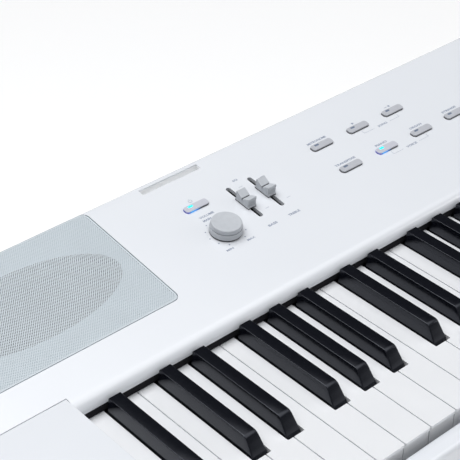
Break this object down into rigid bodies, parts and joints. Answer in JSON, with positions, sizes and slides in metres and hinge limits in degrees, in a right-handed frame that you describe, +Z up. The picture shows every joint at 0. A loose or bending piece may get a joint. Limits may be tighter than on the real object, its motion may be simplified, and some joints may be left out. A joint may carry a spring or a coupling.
{
  "type": "digital piano on stand",
  "caption": "White slab digital piano with a weighted-style keyboard, sloping control panel with knob, faders and push buttons, grilled speakers, on a boarded furniture stand.",
  "frame": {"origin": "on the floor, under the middle of the stand", "axes": "+X towards the treble end, +Y towards the back, +Z up"},
  "size_m": [1.36, 0.38, 0.7704],
  "materials": {
    "case_white": "smooth glossy moulded plastic",
    "key_white": "glossy moulded plastic",
    "key_black": "fine matt top with a satin side",
    "control_grey": "satin moulded plastic",
    "grille_mesh": "finely perforated sheet, satin paint",
    "dark_plastic": "fine textured plastic",
    "speaker_black": "moulded basket and pressed paper cone",
    "black_felt": "dense felt",
    "chassis_steel": "zinc plated folded sheet",
    "circuit_board": "lacquered circuit board",
    "stand_board": "satin white laminated board"
  },
  "bodies": {
    "case_and_stand": {"bottom_case": "case_white", "top_panel": "case_white", "end_block_left": "case_white", "end_block_right": "case_white", "key_slip": "case_white", "key_bed": "chassis_steel", "felt_strip": "black_felt", "rear_connector_panel": "dark_plastic", "speaker_grille_left": "grille_mesh", "speaker_grille_right": "grille_mesh", "speaker_left": "speaker_black", "speaker_right": "speaker_black", "main_board": "circuit_board", "white_keys_B2_to_C8": "key_white", "black_keys_As2_to_As7": "key_black", "stand_side_left": "stand_board", "stand_side_right": "stand_board", "stand_foot_left": "stand_board", "stand_foot_right": "stand_board", "stand_back_panel": "stand_board", "stand_screw_left_front": "dark_plastic", "stand_screw_left_back": "dark_plastic", "stand_screw_right_front": "dark_plastic", "stand_screw_right_back": "dark_plastic"},
    "key_A0": {"key_A0": "key_white"},
    "key_As0": {"key_As0": "key_black"},
    "key_B0": {"key_B0": "key_white"},
    "key_C1": {"key_C1": "key_white"},
    "key_Cs1": {"key_Cs1": "key_black"},
    "key_D1": {"key_D1": "key_white"},
    "key_Ds1": {"key_Ds1": "key_black"},
    "key_E1": {"key_E1": "key_white"},
    "key_F1": {"key_F1": "key_white"},
    "key_Fs1": {"key_Fs1": "key_black"},
    "key_G1": {"key_G1": "key_white"},
    "key_Gs1": {"key_Gs1": "key_black"},
    "key_A1": {"key_A1": "key_white"},
    "key_As1": {"key_As1": "key_black"},
    "key_B1": {"key_B1": "key_white"},
    "key_C2": {"key_C2": "key_white"},
    "key_Cs2": {"key_Cs2": "key_black"},
    "key_D2": {"key_D2": "key_white"},
    "key_Ds2": {"key_Ds2": "key_black"},
    "key_E2": {"key_E2": "key_white"},
    "key_F2": {"key_F2": "key_white"},
    "key_Fs2": {"key_Fs2": "key_black"},
    "key_G2": {"key_G2": "key_white"},
    "key_Gs2": {"key_Gs2": "key_black"},
    "key_A2": {"key_A2": "key_white"},
    "volume_knob": {"volume_knob": "control_grey"},
    "eq_slider_bass": {"eq_slider_bass": "control_grey"},
    "eq_slider_treble": {"eq_slider_treble": "control_grey"},
    "power_button": {"power_button": "control_grey"},
    "button_upper_1": {"button_upper_1": "control_grey"},
    "button_upper_2": {"button_upper_2": "control_grey"},
    "button_upper_3": {"button_upper_3": "control_grey"},
    "button_lower_1": {"button_lower_1": "control_grey"},
    "button_lower_2": {"button_lower_2": "control_grey"},
    "button_lower_3": {"button_lower_3": "control_grey"},
    "button_lower_4": {"button_lower_4": "control_grey"}
  },
  "joints": [
    {"name": "volume_turn", "type": "hinge", "parent": "case_and_stand", "child": "volume_knob", "pos_m": [-0.4237, 0.08064, 0.75821], "axis": [0, -0.1305, 0.9914], "range_deg": [-150, 150]},
    {"name": "eq_slider_bass_slide", "type": "slide", "parent": "case_and_stand", "child": "eq_slider_bass", "axis": [0, 0.9914, 0.1305], "range_m": [-0.0137, 0.0163]},
    {"name": "eq_slider_treble_slide", "type": "slide", "parent": "case_and_stand", "child": "eq_slider_treble", "axis": [0, 0.9914, 0.1305], "range_m": [-0.0155, 0.0145]},
    {"name": "power_button_press", "type": "slide", "parent": "case_and_stand", "child": "power_button", "axis": [0, 0.1305, -0.9914], "range_m": [0, 0.001], "stiffness_N_per_m": 300, "springref_m": -0.003},
    {"name": "button_upper_1_press", "type": "slide", "parent": "case_and_stand", "child": "button_upper_1", "axis": [0, 0.1305, -0.9914], "range_m": [0, 0.001], "stiffness_N_per_m": 300, "springref_m": -0.003},
    {"name": "button_upper_2_press", "type": "slide", "parent": "case_and_stand", "child": "button_upper_2", "axis": [0, 0.1305, -0.9914], "range_m": [0, 0.001], "stiffness_N_per_m": 300, "springref_m": -0.003},
    {"name": "button_upper_3_press", "type": "slide", "parent": "case_and_stand", "child": "button_upper_3", "axis": [0, 0.1305, -0.9914], "range_m": [0, 0.001], "stiffness_N_per_m": 300, "springref_m": -0.003},
    {"name": "button_lower_1_press", "type": "slide", "parent": "case_and_stand", "child": "button_lower_1", "axis": [0, 0.1305, -0.9914], "range_m": [0, 0.001], "stiffness_N_per_m": 300, "springref_m": -0.003},
    {"name": "button_lower_2_press", "type": "slide", "parent": "case_and_stand", "child": "button_lower_2", "axis": [0, 0.1305, -0.9914], "range_m": [0, 0.001], "stiffness_N_per_m": 300, "springref_m": -0.003},
    {"name": "button_lower_3_press", "type": "slide", "parent": "case_and_stand", "child": "button_lower_3", "axis": [0, 0.1305, -0.9914], "range_m": [0, 0.001], "stiffness_N_per_m": 300, "springref_m": -0.003},
    {"name": "button_lower_4_press", "type": "slide", "parent": "case_and_stand", "child": "button_lower_4", "axis": [0, 0.1305, -0.9914], "range_m": [0, 0.001], "stiffness_N_per_m": 300, "springref_m": -0.003},
    {"name": "key_A0_press", "type": "hinge", "parent": "case_and_stand", "child": "key_A0", "pos_m": [-0.59925, 0.051, 0.725], "axis": [1, 0, 0], "range_deg": [0, 3], "stiffness_Nm_per_rad": 0.5, "springref_deg": -14.32},
    {"name": "key_As0_press", "type": "hinge", "parent": "case_and_stand", "child": "key_As0", "pos_m": [-0.584, 0.051, 0.725], "axis": [1, 0, 0], "range_deg": [0, 3], "stiffness_Nm_per_rad": 0.5, "springref_deg": -14.32},
    {"name": "key_B0_press", "type": "hinge", "parent": "case_and_stand", "child": "key_B0", "pos_m": [-0.57575, 0.051, 0.725], "axis": [1, 0, 0], "range_deg": [0, 3], "stiffness_Nm_per_rad": 0.5, "springref_deg": -14.32},
    {"name": "key_C1_press", "type": "hinge", "parent": "case_and_stand", "child": "key_C1", "pos_m": [-0.55225, 0.051, 0.725], "axis": [1, 0, 0], "range_deg": [0, 3], "stiffness_Nm_per_rad": 0.5, "springref_deg": -14.32},
    {"name": "key_Cs1_press", "type": "hinge", "parent": "case_and_stand", "child": "key_Cs1", "pos_m": [-0.5429, 0.051, 0.725], "axis": [1, 0, 0], "range_deg": [0, 3], "stiffness_Nm_per_rad": 0.5, "springref_deg": -14.32},
    {"name": "key_D1_press", "type": "hinge", "parent": "case_and_stand", "child": "key_D1", "pos_m": [-0.52875, 0.051, 0.725], "axis": [1, 0, 0], "range_deg": [0, 3], "stiffness_Nm_per_rad": 0.5, "springref_deg": -14.32},
    {"name": "key_Ds1_press", "type": "hinge", "parent": "case_and_stand", "child": "key_Ds1", "pos_m": [-0.5146, 0.051, 0.725], "axis": [1, 0, 0], "range_deg": [0, 3], "stiffness_Nm_per_rad": 0.5, "springref_deg": -14.32},
    {"name": "key_E1_press", "type": "hinge", "parent": "case_and_stand", "child": "key_E1", "pos_m": [-0.50525, 0.051, 0.725], "axis": [1, 0, 0], "range_deg": [0, 3], "stiffness_Nm_per_rad": 0.5, "springref_deg": -14.32},
    {"name": "key_F1_press", "type": "hinge", "parent": "case_and_stand", "child": "key_F1", "pos_m": [-0.48175, 0.051, 0.725], "axis": [1, 0, 0], "range_deg": [0, 3], "stiffness_Nm_per_rad": 0.5, "springref_deg": -14.32},
    {"name": "key_Fs1_press", "type": "hinge", "parent": "case_and_stand", "child": "key_Fs1", "pos_m": [-0.4735, 0.051, 0.725], "axis": [1, 0, 0], "range_deg": [0, 3], "stiffness_Nm_per_rad": 0.5, "springref_deg": -14.32},
    {"name": "key_G1_press", "type": "hinge", "parent": "case_and_stand", "child": "key_G1", "pos_m": [-0.45825, 0.051, 0.725], "axis": [1, 0, 0], "range_deg": [0, 3], "stiffness_Nm_per_rad": 0.5, "springref_deg": -14.32},
    {"name": "key_Gs1_press", "type": "hinge", "parent": "case_and_stand", "child": "key_Gs1", "pos_m": [-0.4465, 0.051, 0.725], "axis": [1, 0, 0], "range_deg": [0, 3], "stiffness_Nm_per_rad": 0.5, "springref_deg": -14.32},
    {"name": "key_A1_press", "type": "hinge", "parent": "case_and_stand", "child": "key_A1", "pos_m": [-0.43475, 0.051, 0.725], "axis": [1, 0, 0], "range_deg": [0, 3], "stiffness_Nm_per_rad": 0.5, "springref_deg": -14.32},
    {"name": "key_As1_press", "type": "hinge", "parent": "case_and_stand", "child": "key_As1", "pos_m": [-0.4195, 0.051, 0.725], "axis": [1, 0, 0], "range_deg": [0, 3], "stiffness_Nm_per_rad": 0.5, "springref_deg": -14.32},
    {"name": "key_B1_press", "type": "hinge", "parent": "case_and_stand", "child": "key_B1", "pos_m": [-0.41125, 0.051, 0.725], "axis": [1, 0, 0], "range_deg": [0, 3], "stiffness_Nm_per_rad": 0.5, "springref_deg": -14.32},
    {"name": "key_C2_press", "type": "hinge", "parent": "case_and_stand", "child": "key_C2", "pos_m": [-0.38775, 0.051, 0.725], "axis": [1, 0, 0], "range_deg": [0, 3], "stiffness_Nm_per_rad": 0.5, "springref_deg": -14.32},
    {"name": "key_Cs2_press", "type": "hinge", "parent": "case_and_stand", "child": "key_Cs2", "pos_m": [-0.3784, 0.051, 0.725], "axis": [1, 0, 0], "range_deg": [0, 3], "stiffness_Nm_per_rad": 0.5, "springref_deg": -14.32},
    {"name": "key_D2_press", "type": "hinge", "parent": "case_and_stand", "child": "key_D2", "pos_m": [-0.36425, 0.051, 0.725], "axis": [1, 0, 0], "range_deg": [0, 3], "stiffness_Nm_per_rad": 0.5, "springref_deg": -14.32},
    {"name": "key_Ds2_press", "type": "hinge", "parent": "case_and_stand", "child": "key_Ds2", "pos_m": [-0.3501, 0.051, 0.725], "axis": [1, 0, 0], "range_deg": [0, 3], "stiffness_Nm_per_rad": 0.5, "springref_deg": -14.32},
    {"name": "key_E2_press", "type": "hinge", "parent": "case_and_stand", "child": "key_E2", "pos_m": [-0.34075, 0.051, 0.725], "axis": [1, 0, 0], "range_deg": [0, 3], "stiffness_Nm_per_rad": 0.5, "springref_deg": -14.32},
    {"name": "key_F2_press", "type": "hinge", "parent": "case_and_stand", "child": "key_F2", "pos_m": [-0.31725, 0.051, 0.725], "axis": [1, 0, 0], "range_deg": [0, 3], "stiffness_Nm_per_rad": 0.5, "springref_deg": -14.32},
    {"name": "key_Fs2_press", "type": "hinge", "parent": "case_and_stand", "child": "key_Fs2", "pos_m": [-0.309, 0.051, 0.725], "axis": [1, 0, 0], "range_deg": [0, 3], "stiffness_Nm_per_rad": 0.5, "springref_deg": -14.32},
    {"name": "key_G2_press", "type": "hinge", "parent": "case_and_stand", "child": "key_G2", "pos_m": [-0.29375, 0.051, 0.725], "axis": [1, 0, 0], "range_deg": [0, 3], "stiffness_Nm_per_rad": 0.5, "springref_deg": -14.32},
    {"name": "key_Gs2_press", "type": "hinge", "parent": "case_and_stand", "child": "key_Gs2", "pos_m": [-0.282, 0.051, 0.725], "axis": [1, 0, 0], "range_deg": [0, 3], "stiffness_Nm_per_rad": 0.5, "springref_deg": -14.32},
    {"name": "key_A2_press", "type": "hinge", "parent": "case_and_stand", "child": "key_A2", "pos_m": [-0.27025, 0.051, 0.725], "axis": [1, 0, 0], "range_deg": [0, 3], "stiffness_Nm_per_rad": 0.5, "springref_deg": -14.32}
  ]
}
